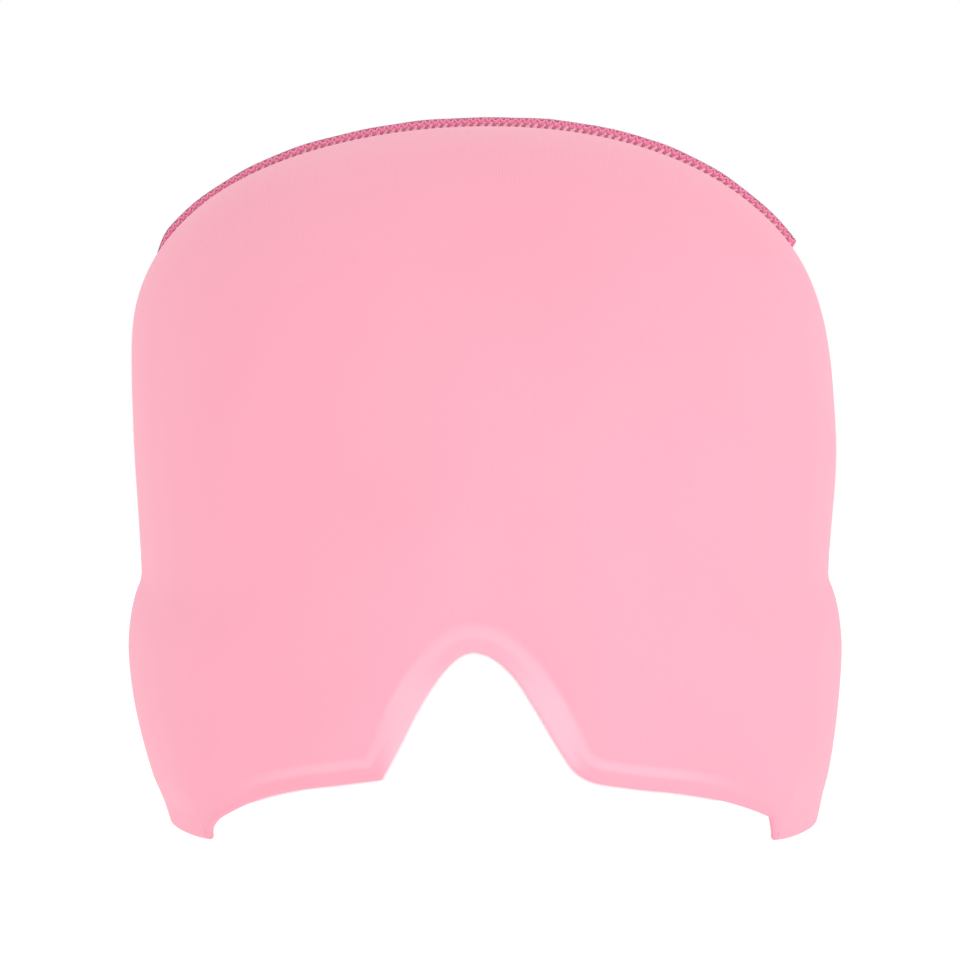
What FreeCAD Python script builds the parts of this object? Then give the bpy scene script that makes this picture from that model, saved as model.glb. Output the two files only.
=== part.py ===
"""Cooling eye pillow cap: a padded, hood-shaped gel pillow for the eyes and the whole head.

Frame, in millimetres: +Z up, the wearer faces -Y, the origin is on the floor under the middle of the
cap, and the rim under the ears stands on the plane z = 0.

A front half and a back half meet in the plane y = 0. Each half is a stack of four kinds of layer, from
the outside in: stretch cover cloth, a welded film pouch with a gel core, and lining cloth. Every layer
follows the same head form, made smaller by the layer's depth. The halves are joined by two hidden side
seams and by an overlocked seam that stands up as a ridge across the crown. The front half's lower edge
rises over the cheeks and is cut out for the nose. The back half's lower edge arches up over the nape.
"""

import FreeCAD, Part
import math
import os

import Sketcher
from FreeCAD import Placement, Rotation, Vector

PARTS_FOLDER = "parts"
CLOTH_DEGREE = 3
COLUMNS = 28
CROWN_ROWS = 12
WALL_ROWS = 14
FRONT = -1
BACK = 1

# how a sketch names the ends and centre of a curve, its origin and its upright axis
START, END, CENTRE = 1, 2, 3
ORIGIN = (-1, 1)
UPRIGHT = -2

# alias: (value, what it is); lengths in millimetres
SIZES = {
    "temple_half_width": (84.2, "half width at the temples"),
    "temple_height": (94.2, "height where the crown starts to close"),
    "waist_half_width": (82.5, "half width in the crease above the ears"),
    "waist_height": (57.0, "height of that crease"),
    "lobe_half_width": (86.0, "half width over the ears, the widest place"),
    "lobe_height": (43.0, "height of the widest place"),
    "rim_half_width": (77.5, "half width at the rim"),
    "crown_height": (165.8, "height of the cloth at the top of the crown"),
    "crown_power": (3.2, "squareness of the crown seen from the front"),
    "seam_half_width": (76.6, "half width where the crown seam ends"),
    "side_seam_top": (132.0, "height where the hidden side seams start"),
    "brow_depth": (102.0, "depth of the front half at the brow"),
    "brow_height": (70.0, "height of the brow"),
    "front_rim_depth": (93.0, "depth of the front half at the rim"),
    "nape_depth": (91.0, "depth of the back half at the rim"),
    "occiput_depth": (102.0, "depth of the back half at its fullest"),
    "occiput_height": (80.0, "height of the fullest place at the back"),
    "profile_power": (2.4, "squareness of the crown seen from the side"),
    "section_power": (2.15, "squareness of a level section"),
    "cover_cloth": (0.8, "thickness of the cover cloth"),
    "film": (0.25, "thickness of the pouch film"),
    "gel": (5.4, "thickness of the gel core"),
    "lining_cloth": (0.8, "thickness of the lining cloth"),
    "gel_margin": (7.0, "from an edge or seam to the gel"),
    "film_margin": (4.0, "from an edge or seam to the film"),
    "step_half_width": (61.8, "where the front edge drops to the rim"),
    "step_height": (4.6, "height of that drop"),
    "edge_radius": (110.0, "radius of the lower edge under each eye"),
    "notch_half_width": (20.8, "half width of the nose notch at its foot"),
    "notch_foot": (15.8, "height of the foot of the notch"),
    "notch_top": (43.5, "height of the top of the notch"),
    "notch_radius": (7.0, "radius of the top of the notch"),
    "arch_height": (40.0, "height of the arch over the nape"),
    "arch_radius": (60.0, "radius of the top of that arch"),
    "arch_foot_radius": (50.0, "radius where the arch runs out into the rim"),
    "arch_foot_dip": (3.0, "how far the arch's foot would reach below the rim"),
    "ridge_height": (2.1, "height of the seam allowance above the crown"),
    "looper": (0.5, "thickness of the looper threads on the ridge"),
    "needle_thread": (0.5, "thickness of the needle thread"),
    "seam_thread": (0.5, "thickness of the hidden seam threads"),
    "rim_stitch": (2.5, "height of the hidden rim stitching above the edge"),
    "clearance": (30.0, "how far a cutter stands clear of the cap"),
}


def make_sheet(doc):
    """Writes the driving dimensions, one row each: what it is, then its value under its alias."""
    sheet = doc.addObject("Spreadsheet::Sheet", "sizes")
    for row, (alias, (value, meaning)) in enumerate(SIZES.items(), start=1):
        sheet.set(f"A{row}", meaning)
        sheet.set(f"B{row}", str(value))
        sheet.setAlias(f"B{row}", alias)
    doc.recompute()
    return sheet


doc = FreeCAD.newDocument("eye_pillow_cap")
sheet = make_sheet(doc)


def size(alias):
    """The value of one driving dimension, read from the sheet."""
    return float(sheet.get(alias))


# ---------------------------------------------------------------- the head form


def ease(start, end, share):
    """From start to end with a level tangent at both ends."""
    return start + (end - start) * (1 - math.cos(math.pi * share)) / 2


def half_width(height):
    """Half width of the form at a height, from the rim to the top of the crown."""
    lobe, waist, temple = (size(k + "_height") for k in ("lobe", "waist", "temple"))
    lobe_w, waist_w, temple_w = (size(k + "_half_width") for k in ("lobe", "waist", "temple"))
    if height < lobe:
        rim_w = size("rim_half_width")
        return rim_w + (lobe_w - rim_w) * math.sin(math.pi / 2 * height / lobe)
    if height < waist:
        return ease(lobe_w, waist_w, (height - lobe) / (waist - lobe))
    if height < temple:
        return ease(waist_w, temple_w, (height - waist) / (temple - waist))
    rise = min((height - temple) / (size("crown_height") - temple), 1.0)
    return temple_w * math.sqrt(max(1 - rise ** size("crown_power"), 0.0))


def crown_outline(x):
    """Height of the crown seam above a point x, seen from the front."""
    temple = size("temple_height")
    share = 1 - (x / size("temple_half_width")) ** 2
    return temple + (size("crown_height") - temple) * share ** (1 / size("crown_power"))


def side_profile(side):
    """Fullest depth of one half in the middle plane, the height of that place, and the depth at the rim."""
    names = {
        FRONT: ("brow_depth", "brow_height", "front_rim_depth"),
        BACK: ("occiput_depth", "occiput_height", "nape_depth"),
    }
    return [size(name) for name in names[side]]


def profile_depth(height, side):
    """Depth of one half in the middle plane at a height."""
    full, level, rim = side_profile(side)
    if height < level:
        return rim + (full - rim) * math.sin(math.pi / 2 * height / level)
    rise = min((height - level) / (size("crown_height") - level), 1.0)
    return full * math.sqrt(max(1 - rise ** size("profile_power"), 0.0))


def apex_height(gap, side):
    """Height in the middle plane at which the form is a gap away from the plane y = 0."""
    full, level, _ = side_profile(side)
    rise = (1 - (gap / full) ** 2) ** (1 / size("profile_power"))
    return level + (size("crown_height") - level) * rise


def on_superellipse(share):
    """The other coordinate of the unit superellipse that every level section follows."""
    power = size("section_power")
    return max(1 - abs(share) ** power, 0.0) ** (1 / power)


def form_point(across, down, side, gap, floor):
    """A point of one half of the form.

    across runs from -1 to 1 along a level section, whose ends are a gap away from the plane y = 0;
    down runs from 0 at the top of the crown to 1 at the floor.
    """
    apex = apex_height(gap, side)
    level = side_profile(side)[1]
    crown_share = CROWN_ROWS / (CROWN_ROWS + WALL_ROWS)
    if down == 0:
        return Vector(0, side * gap, apex)
    if down < crown_share:
        height = level + (apex - level) * math.cos(math.pi / 2 * down / crown_share)
    else:
        height = floor + (level - floor) * (1 - down) / (1 - crown_share)
    depth = profile_depth(height, side)
    limit = on_superellipse(gap / depth)
    x = across * limit * half_width(height)
    y = gap if abs(across) == 1 else depth * on_superellipse(across * limit)
    return Vector(x, side * y, height)


def shrink(depth, side):
    """The factors on x, y and z that move the form inwards by a depth."""
    widths = (size("temple_half_width"), side_profile(side)[0], size("crown_height"))
    return [1 - depth / w for w in widths]


def scaled(point, factors):
    return Vector(*(c * f for c, f in zip(point, factors)))


def clamped(count):
    """Knots and multiplicities of a clamped cubic with that many poles."""
    spans = count - CLOTH_DEGREE
    knots = [k / spans for k in range(spans + 1)]
    mults = [CLOTH_DEGREE + 1] + [1] * (spans - 1) + [CLOTH_DEGREE + 1]
    return knots, mults


def spline_surface(poles):
    u_knots, u_mults = clamped(len(poles))
    v_knots, v_mults = clamped(len(poles[0]))
    surface = Part.BSplineSurface()
    surface.buildFromPolesMultsKnots(
        poles, u_mults, v_mults, u_knots, v_knots, False, False, CLOTH_DEGREE, CLOTH_DEGREE
    )
    return surface


def form_surface(depth, side, margin):
    """The form's surface on one side, moved inwards by a depth and kept a margin off y = 0 and z = 0."""
    factors = shrink(depth, side)
    gap, floor = margin / factors[1], margin / factors[2]
    rows = CROWN_ROWS + WALL_ROWS
    poles = []
    for column in range(COLUMNS + 1):
        across = math.sin(math.pi * (column / COLUMNS - 0.5))
        points = [form_point(across, row / rows, side, gap, floor) for row in range(rows + 1)]
        poles.append([scaled(p, factors) for p in points])
    return spline_surface(poles)


def solid_of(faces):
    """One closed solid from the faces that bound it."""
    shell = Part.makeShell(faces)
    shell.sewShape()
    solid = Part.makeSolid(shell)
    if solid.Volume < 0:
        solid.reverse()
    return solid


def flat_face_between(a, b):
    """The flat face between two edges that lie in one plane, closed by straight lines at both ends."""
    ends = [Part.makeLine(a.valueAt(t), b.valueAt(u)) for t, u in zip(a.ParameterRange, b.ParameterRange)]
    return Part.Face(Part.Wire(Part.__sortEdges__([a, b] + ends)))


def layer_solid(outer_depth, inner_depth, side, margin):
    """The space between two depths of the form on one side, a margin off the planes y = 0 and z = 0."""
    outer = form_surface(outer_depth, side, margin)
    inner = form_surface(inner_depth, side, margin)
    borders = [(surface.uIso(0), surface.uIso(1), surface.vIso(1)) for surface in (outer, inner)]
    walls = [flat_face_between(a.toShape(), b.toShape()) for a, b in zip(*borders)]
    return solid_of([outer.toShape(), inner.toShape()] + walls)


def add_shape(name, shape):
    """A document object that holds a free-form shape."""
    feature = doc.addObject("Part::Feature", name)
    feature.Shape = shape
    feature.Placement = Placement()
    return feature


def add_layer(name, outer_depth, inner_depth, side, margin=0.0):
    return add_shape(name, layer_solid(outer_depth, inner_depth, side, margin))


# ---------------------------------------------------------------- cutters


def bind(feature, **expressions):
    """Binds properties of a feature to the sheet."""
    for name, expression in expressions.items():
        feature.setExpression(name.replace("__", "."), expression)
    return feature


def mirrored(point):
    return Vector(-point.x, point.y, 0)


def arc(centre, radius, start, end):
    """The arc that turns anticlockwise about a centre from start to end."""
    angles = [math.atan2(p.y - centre.y, p.x - centre.x) for p in (start, end)]
    return Part.ArcOfCircle(Part.Circle(centre, Vector(0, 0, 1), radius), *angles)


def edge_sketch(name, geometry, rules, dimensions):
    """A closed outline in the plane y = 0, with plain rules and with dimensions bound to the sheet."""
    sketch = doc.addObject("Sketcher::SketchObject", name)
    sketch.Placement = Placement(Vector(), Rotation(Vector(1, 0, 0), 90))
    sketch.addGeometry(geometry, False)
    for words in rules:
        sketch.addConstraint(Sketcher.Constraint(*words))
    for label, (words, expression) in dimensions.items():
        sketch.renameConstraint(sketch.addConstraint(Sketcher.Constraint(*words)), label)
        sketch.setExpression(f"Constraints.{label}", expression)
    return sketch


def eye_edge_sketch():
    """The front half's lower edge seen from the front: the step, the edge under each eye, the notch."""
    step = Vector(size("step_half_width"), size("step_height"), 0)
    foot = Vector(size("notch_half_width"), size("notch_foot"), 0)
    radius, edge_radius = size("notch_radius"), size("edge_radius")
    top_centre = Vector(0, size("notch_top") - radius, 0)
    low_corner = Vector(step.x, -size("clearance"), 0)

    slant = foot - top_centre
    slope = math.atan2(slant.y, slant.x) + math.acos(radius / slant.Length)
    touch = top_centre + Vector(math.cos(slope), math.sin(slope), 0) * radius
    chord = foot - step
    sag = math.sqrt(edge_radius**2 - (chord.Length / 2) ** 2)
    downwards = Vector(-chord.y, chord.x, 0).normalize()
    edge_centre = (foot + step) / 2 + downwards * sag

    geometry = [
        Part.LineSegment(low_corner, step),
        arc(edge_centre, edge_radius, step, foot),
        Part.LineSegment(foot, touch),
        arc(top_centre, radius, touch, mirrored(touch)),
        Part.LineSegment(mirrored(touch), mirrored(foot)),
        arc(mirrored(edge_centre), edge_radius, mirrored(foot), mirrored(step)),
        Part.LineSegment(mirrored(step), mirrored(low_corner)),
        Part.LineSegment(mirrored(low_corner), low_corner),
    ]
    rules = [
        ("Coincident", index, END, (index + 1) % len(geometry), START)
        for index in range(len(geometry))
        if index not in (2, 3)
    ]
    rules += [
        ("Tangent", 2, END, 3, START),
        ("Tangent", 4, START, 3, END),
        ("Symmetric", 0, END, 5, END, UPRIGHT),
        ("Symmetric", 2, START, 4, END, UPRIGHT),
        ("Symmetric", 0, START, 6, END, UPRIGHT),
        ("Vertical", 0),
        ("PointOnObject", 3, CENTRE, UPRIGHT),
        ("Equal", 1, 5),
    ]
    dimensions = {
        "step_x": (("DistanceX", *ORIGIN, 0, END, step.x), "sizes.step_half_width"),
        "step_z": (("DistanceY", *ORIGIN, 0, END, step.y), "sizes.step_height"),
        "foot_x": (("DistanceX", *ORIGIN, 2, START, foot.x), "sizes.notch_half_width"),
        "foot_z": (("DistanceY", *ORIGIN, 2, START, foot.y), "sizes.notch_foot"),
        "top_centre": (
            ("DistanceY", *ORIGIN, 3, CENTRE, top_centre.y),
            "sizes.notch_top - sizes.notch_radius",
        ),
        "low": (("DistanceY", 0, START, *ORIGIN, -low_corner.y), "sizes.clearance"),
        "top_radius": (("Radius", 3, radius), "sizes.notch_radius"),
        "edge_radius": (("Radius", 1, edge_radius), "sizes.edge_radius"),
    }
    return edge_sketch("eye_edge", geometry, rules, dimensions)


def nape_edge_sketch():
    """The back half's lower edge seen from behind: an arch with a rounded foot at each side."""
    radius, foot_radius = size("arch_radius"), size("arch_foot_radius")
    dip = size("arch_foot_dip")
    top_centre = Vector(0, size("arch_height") - radius, 0)
    rise = foot_radius - dip - top_centre.y
    run = math.sqrt((radius + foot_radius) ** 2 - rise**2)
    foot_centre = top_centre + Vector(run, rise, 0)
    foot = Vector(run, -dip, 0)
    low_corner = Vector(run, -size("clearance"), 0)
    touch = top_centre + (foot_centre - top_centre).normalize() * radius

    geometry = [
        Part.LineSegment(low_corner, foot),
        arc(foot_centre, foot_radius, touch, foot),
        arc(top_centre, radius, touch, mirrored(touch)),
        arc(mirrored(foot_centre), foot_radius, mirrored(foot), mirrored(touch)),
        Part.LineSegment(mirrored(foot), mirrored(low_corner)),
        Part.LineSegment(mirrored(low_corner), low_corner),
    ]
    rules = [
        ("Coincident", 0, END, 1, END),
        ("Tangent", 1, START, 2, START),
        ("Tangent", 2, END, 3, END),
        ("Coincident", 3, START, 4, START),
        ("Coincident", 4, END, 5, START),
        ("Coincident", 5, END, 0, START),
        ("Symmetric", 0, END, 4, START, UPRIGHT),
        ("Symmetric", 0, START, 4, END, UPRIGHT),
        ("Vertical", 0),
        ("Vertical", 1, CENTRE, 0, END),
        ("PointOnObject", 2, CENTRE, UPRIGHT),
        ("Equal", 1, 3),
    ]
    dimensions = {
        "top_centre": (
            ("DistanceY", 2, CENTRE, *ORIGIN, -top_centre.y),
            "sizes.arch_radius - sizes.arch_height",
        ),
        "foot_z": (("DistanceY", 0, END, *ORIGIN, dip), "sizes.arch_foot_dip"),
        "low": (("DistanceY", 0, START, *ORIGIN, -low_corner.y), "sizes.clearance"),
        "top_radius": (("Radius", 2, radius), "sizes.arch_radius"),
        "foot_radius": (("Radius", 1, foot_radius), "sizes.arch_foot_radius"),
    }
    return edge_sketch("nape_edge", geometry, rules, dimensions)


def edge_cutter(name, source, side):
    """Everything below a lower edge, pushed out through the wall of one half."""
    cutter = doc.addObject("Part::Extrusion", name)
    cutter.Base = source
    cutter.DirMode = "Custom"
    cutter.Dir = Vector(0, side, 0)
    cutter.Solid = True
    return bind(cutter, LengthFwd="sizes.brow_depth + sizes.clearance")


def wider_edge(name, source, margin):
    """The lower edge moved up into the cloth by a margin."""
    offset = doc.addObject("Part::Offset2D", name)
    offset.Source = source
    return bind(offset, Value=margin)


def slab(name, low_x, high_x, low_y, high_y, low_z, high_z):
    """A box between two planes each way, each plane given as an expression of the sheet."""
    box = doc.addObject("Part::Box", name)
    return bind(
        box,
        Length=f"({high_x}) - ({low_x})",
        Width=f"({high_y}) - ({low_y})",
        Height=f"({high_z}) - ({low_z})",
        Placement__Base__x=low_x,
        Placement__Base__y=low_y,
        Placement__Base__z=low_z,
    )


def floor_slab(name, low_z, high_z):
    """A slab that reaches past the whole cap, between two heights."""
    wide = "sizes.lobe_half_width + sizes.clearance"
    deep = "sizes.occiput_depth + sizes.clearance"
    return slab(name, f"-({wide})", wide, f"-({deep})", deep, low_z, high_z)


def chain(kind, name, base, *tools):
    """base combined with every tool in turn by one kind of boolean; the last feature has the name."""
    for number, tool in enumerate(tools, start=1):
        feature = doc.addObject(kind, name if number == len(tools) else f"{name}_{number}")
        feature.Base = base
        feature.Tool = tool
        base = feature
    return base


def cut(name, base, *tools):
    return chain("Part::Cut", name, base, *tools)


def common(name, base, *tools):
    return chain("Part::Common", name, base, *tools)


def fuse(name, *shapes):
    feature = doc.addObject("Part::MultiFuse", name)
    feature.Shapes = list(shapes)
    return feature


# ---------------------------------------------------------------- layers


def depths():
    """Depth of each layer's outer and inner face."""
    order = (
        ("cover", "cover_cloth"),
        ("outer_film", "film"),
        ("gel", "gel"),
        ("inner_film", "film"),
        ("lining", "lining_cloth"),
    )
    found, depth = {}, 0.0
    for layer, alias in order:
        found[layer] = (depth, depth + size(alias))
        depth += size(alias)
    return found


def crown_arc(height):
    """The crown seam's line, moved a height above the cloth."""
    poles = []
    for k in range(COLUMNS + 1):
        x = size("seam_half_width") * math.sin(math.pi * (k / COLUMNS - 0.5))
        poles.append(scaled(Vector(x, 0, crown_outline(x)), shrink(-height, FRONT)))
    knots, mults = clamped(len(poles))
    curve = Part.BSplineCurve()
    curve.buildFromPolesMultsKnots(poles, mults, knots, False, CLOTH_DEGREE)
    return curve.toShape()


def ridge_band(name, low, high, near, far):
    """An arched strip along the crown seam, between two heights over the cloth and two y values."""
    strip = Part.makeRuledSurface(crown_arc(low), crown_arc(high))
    strip.translate(Vector(0, near, 0))
    return add_shape(name, strip.extrude(Vector(0, far - near, 0)))


def add_cover(prefix, side, edges):
    """Cover cloth of one half: a tray with a turned-in hem, and a seam allowance on the crown."""
    cloth = size("cover_cloth")
    depth = depths()
    tray = add_layer(f"{prefix}_tray", 0, depth["lining"][0], side)
    pocket = add_layer(f"{prefix}_pocket", cloth, depth["lining"][1], side)
    hem = floor_slab(f"{prefix}_hem", "-sizes.clearance", "sizes.cover_cloth")
    pocket = cut(f"{prefix}_pocket_trimmed", pocket, hem, edges["cover_cloth"])
    tray = cut(f"{prefix}_cover_tray", tray, edges["plain"], pocket)
    flange = ridge_band(f"{prefix}_cover_flange", -cloth / 2, size("ridge_height"), 0, side * cloth)
    return {f"cover_{prefix}": fuse(f"cover_{prefix}", tray, flange)}


def add_gel_pouch(prefix, side, edges):
    """Two films and the gel core between them, all clear of the seams and of the lower edge."""
    depth = depths()
    made = {}
    for layer, node, margin in (
        ("outer_film", "gel_outer_film", "film_margin"),
        ("gel", "gel_core", "gel_margin"),
        ("inner_film", "gel_inner_film", "film_margin"),
    ):
        base = add_layer(f"{prefix}_{layer}_layer", *depth[layer], side, size(margin))
        name = f"{prefix}_{node}"
        made[name] = cut(name, base, edges[margin])
    return made


def add_lining(prefix, side, edges):
    base = add_layer(f"{prefix}_lining_layer", *depths()["lining"], side)
    name = f"lining_{prefix}"
    return {name: cut(name, base, edges["plain"])}


# ---------------------------------------------------------------- threads


def add_crown_threads():
    """The two looper threads that wrap the ridge, and the needle thread along its foot."""
    ridge, looper = size("ridge_height"), size("looper")
    cloth = size("cover_cloth")
    needle = size("needle_thread")
    made = {}
    for name, side in (("crown_upper_looper_thread", FRONT), ("crown_lower_looper_thread", BACK)):
        face = ridge_band(f"{name}_face", looper / 2, ridge, side * cloth, side * (cloth + looper))
        cap = ridge_band(f"{name}_cap", ridge, ridge + looper, 0, side * (cloth + looper))
        made[name] = fuse(name, face, cap)
    near = cloth + looper
    made["crown_needle_thread"] = ridge_band(
        "crown_needle_thread", looper, looper + needle, FRONT * near, FRONT * (near + needle)
    )
    return made


def add_thread_layer(prefix, side):
    """The thin layer just under the cover in which the hidden threads of one half lie."""
    outer = size("cover_cloth") + size("seam_thread") / 2
    return add_layer(f"{prefix}_thread_layer", outer, outer + size("seam_thread"), side)


def add_side_threads(layer):
    """The hidden threads that close the side seams, from the crown seam down to the rim stitching."""
    wide = "sizes.lobe_half_width + sizes.clearance"
    low = "sizes.rim_stitch + 2 * sizes.seam_thread"
    made = {}
    for prefix, low_x, high_x in (("left", "0", wide), ("right", f"-({wide})", "0")):
        box = slab(f"{prefix}_side", low_x, high_x, "-sizes.seam_thread", "0", low, "sizes.side_seam_top")
        name = f"{prefix}_side_seam_thread"
        made[name] = common(name, layer, box)
    return made


def add_rim_thread(prefix, side, layer, sketch):
    """The hidden thread that closes the rim of one half, at one height above its lower edge."""
    below = []
    for level, lift in (("high", "sizes.rim_stitch + sizes.seam_thread"), ("low", "sizes.rim_stitch")):
        name = f"{prefix}_stitch_{level}"
        edge = edge_cutter(f"{name}_edge_cutter", wider_edge(f"{name}_edge", sketch, lift), side)
        below.append(fuse(f"{name}_below", edge, floor_slab(f"{name}_slab", "-sizes.clearance", lift)))
    strip = common(f"{prefix}_rim_strip", layer, below[0])
    name = f"{prefix}_rim_thread"
    return {name: cut(name, strip, below[1])}


# ---------------------------------------------------------------- build and export


def check_document():
    """Stops if any object of the document failed to compute."""
    for feature in doc.Objects:
        if "Invalid" in feature.State or "Error" in feature.State:
            raise RuntimeError(f"{feature.Name} failed: {feature.State}")


def export(nodes):
    os.makedirs(PARTS_FOLDER, exist_ok=True)
    for name, feature in nodes.items():
        feature.Label = name
        shape = feature.Shape
        if shape.isNull() or not shape.isValid() or not shape.Solids:
            raise RuntimeError(f"{name} is not a valid solid")
        box = shape.BoundBox
        print(
            f"{name}: {len(shape.Solids)} solid, {shape.Volume / 1000:.2f} cm3, "
            f"x {box.XMin:.1f} {box.XMax:.1f}, y {box.YMin:.1f} {box.YMax:.1f}, z {box.ZMin:.1f} {box.ZMax:.1f}"
        )
        shape.exportStep(os.path.join(PARTS_FOLDER, f"{name}.step"))


def add_half(prefix, side, sketch):
    """Every layer of one half, and the thread of its rim."""
    edges = {"plain": edge_cutter(f"{prefix}_plain_cutter", sketch, side)}
    for margin in ("cover_cloth", "film_margin", "gel_margin"):
        source = wider_edge(f"{prefix}_{margin}_edge", sketch, f"sizes.{margin}")
        edges[margin] = edge_cutter(f"{prefix}_{margin}_cutter", source, side)
    made = add_cover(prefix, side, edges)
    made.update(add_gel_pouch(prefix, side, edges))
    made.update(add_lining(prefix, side, edges))
    layer = add_thread_layer(prefix, side)
    made.update(add_rim_thread(prefix, side, layer, sketch))
    if side == FRONT:
        made.update(add_side_threads(layer))
    return made


def main():
    nodes = add_half("front", FRONT, eye_edge_sketch())
    nodes.update(add_half("back", BACK, nape_edge_sketch()))
    nodes.update(add_crown_threads())
    doc.recompute()
    check_document()
    export(nodes)


main()
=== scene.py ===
import bpy
import numpy as np
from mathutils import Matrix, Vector


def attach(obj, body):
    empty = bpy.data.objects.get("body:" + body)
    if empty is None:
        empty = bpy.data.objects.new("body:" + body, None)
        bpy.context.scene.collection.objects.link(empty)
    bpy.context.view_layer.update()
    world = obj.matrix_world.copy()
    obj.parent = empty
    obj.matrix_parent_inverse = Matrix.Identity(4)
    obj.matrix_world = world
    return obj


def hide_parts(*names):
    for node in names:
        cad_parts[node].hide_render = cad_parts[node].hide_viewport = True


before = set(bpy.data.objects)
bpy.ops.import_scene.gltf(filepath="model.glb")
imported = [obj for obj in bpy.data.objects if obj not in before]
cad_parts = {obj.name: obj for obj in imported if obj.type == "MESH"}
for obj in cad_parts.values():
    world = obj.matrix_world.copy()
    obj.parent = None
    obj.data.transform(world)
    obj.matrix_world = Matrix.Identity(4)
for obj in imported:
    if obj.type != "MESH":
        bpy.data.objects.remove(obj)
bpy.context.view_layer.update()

# Cooling eye pillow cap. Lengths below are millimetres, in the row frame: +Z up, the wearer faces -Y.
# Both halves follow one head form. A half is laid out as columns that run from the crown seam down to
# the half's lower edge, so that every cloth, film and pad is a skin at its own depth below the form.

FRONT, BACK = -1, 1
SECTION = 2.15  # power of the head form's level sections
RIM_HALF, WIDEST = 77.5, 84.2  # half widths on the floor and over the temples
TEMPLE, TOP = 94.2, 165.8  # heights where the crown starts to round, and of its top
CROWN_RISE, CROWN_POWER = 71.6, 3.2  # how far the crown rises above the temples, and how squarely
LOBE_ROOT, LOBE_OUT, LOBE_MIDDLE, LOBE_HALF = 79, 7, 40.2, 20.5  # the bulge under each ear
CENTRE_HEIGHT = 75.0  # middle of the chart that lays out a half
CLOTH = 0.8
ROLL = 0.95  # radius of the turned lower edge
EDGE_SINK = 1.5  # how far the sewn edge lies below the form
SWELL_CAP = 1.2  # most that the simulation may add
SEAM_TOP = {-1: 134.8, 1: 136.8}  # where the crown ridge ends on either side
STITCH = 1.8  # overlock pitch
RIDGE = 2.0
EASE_ROWS = 14  # rows over which the edge is let down to the floor
LAY_SHIFT = 40.0  # keeps the two halves' weave and mottling apart
PAD_GAP, FILM_GAP, FILM = 0.06, 0.03, 0.25
RIDGE_WEAR = np.array([(0, -0.3), (0.1, -0.25), (0.25, -0.05), (0.45, 0.1), (0.6, 0.35), (0.72, 0.5),
                       (0.8, 0.1), (0.92, -0.2), (1, -0.2)])


def smooth(t):
    t = np.clip(t, 0.0, 1.0)
    return t * t * (3 - 2 * t)


def run_length(line):
    """Distance along a line at each of its points."""
    return np.concatenate([[0], np.cumsum(np.linalg.norm(np.diff(line, axis=0), axis=1))])


def read_at(at, stations, values):
    """Every column of values read at new stations."""
    return np.stack([np.interp(at, stations, values[:, k]) for k in range(values.shape[1])], axis=-1)


def curve_through(points, count):
    """A smooth line through control points, as evenly timed samples of one cubic per gap."""
    p = np.array(points, float)
    step = np.sqrt(np.linalg.norm(np.diff(p, axis=0), axis=1))
    knots = np.concatenate([[0], np.cumsum(step)])
    slope = np.empty_like(p)
    slope[1:-1] = (p[2:] - p[:-2]) / (knots[2:] - knots[:-2])[:, None]
    slope[0] = 2 * (p[1] - p[0]) / step[0] - slope[1]
    slope[-1] = 2 * (p[-1] - p[-2]) / step[-1] - slope[-2]
    t = np.linspace(0, knots[-1], count)
    k = np.clip(np.searchsorted(knots, t, side="right") - 1, 0, len(p) - 2)
    h = (knots[k + 1] - knots[k])[:, None]
    u = ((t - knots[k]) / (knots[k + 1] - knots[k]))[:, None]
    return (
        (2 * u**3 - 3 * u**2 + 1) * p[k]
        + (u**3 - 2 * u**2 + u) * h * slope[k]
        + (3 * u**2 - 2 * u**3) * p[k + 1]
        + (u**3 - u**2) * h * slope[k + 1]
    )


# ------------------------------------------------------------------ the head form

def half_width(z):
    """Half the form's width at a height: lobes low down, a waist over the ears, a round crown."""
    z = np.asarray(z, float)
    rise = np.clip((z - TEMPLE) / CROWN_RISE, 0, 1)
    return np.select(
        [z < 43, z < 57, z < TEMPLE],
        [
            RIM_HALF + 8.5 * np.sin(np.pi / 2 * np.clip(z, -43, 43) / 43),
            82.5 + 1.75 * (1 + np.cos(np.pi * (z - 43) / 14)),
            WIDEST - 0.85 * (1 + np.cos(np.pi * (z - 57) / 37.2)),
        ],
        WIDEST * np.sqrt(np.maximum(1 - rise**CROWN_POWER, 0)),
    )


def half_depth(z, side):
    """How far one half reaches from the seam plane at a height."""
    full, level, rim = (102.0, 70.0, 93.0) if side == FRONT else (102.0, 80.0, 91.0)
    rise = np.clip((z - level) / (TOP - level), 0, 1)
    low = rim + (full - rim) * np.sin(np.pi / 2 * np.clip(z / level, -1, 1))
    return np.where(z < level, low, full * np.sqrt(np.maximum(1 - rise**2.4, 0)))


def depth_at(x, z, side):
    """The form's distance from the seam plane at a place seen from the front."""
    share = np.clip(np.abs(x) / np.maximum(half_width(z), 1e-9), 0, 1) ** SECTION
    return half_depth(z, side) * (1 - share) ** (1 / SECTION)


def outline_reach(angle):
    """How far the front view's outline lies from the chart's centre, at an angle from straight up."""
    low, high = np.full_like(angle, 20.0), np.full_like(angle, 160.0)
    s, c = np.sin(angle), np.cos(angle)
    for _ in range(52):
        mid = (low + high) / 2
        x, z = mid * s, CENTRE_HEIGHT + mid * c
        rise = np.clip((z - TEMPLE) / CROWN_RISE, 0, 9)
        crown = (x / WIDEST) ** 2 + rise**CROWN_POWER
        wall = (x / half_width(np.minimum(z, TEMPLE))) ** 2 + (np.clip(-z, 0, 999) / 60) ** 2
        outside = np.where(z > TEMPLE, crown, wall) > 1
        low, high = np.where(outside, low, mid), np.where(outside, mid, high)
    return (low + high) / 2


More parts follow.
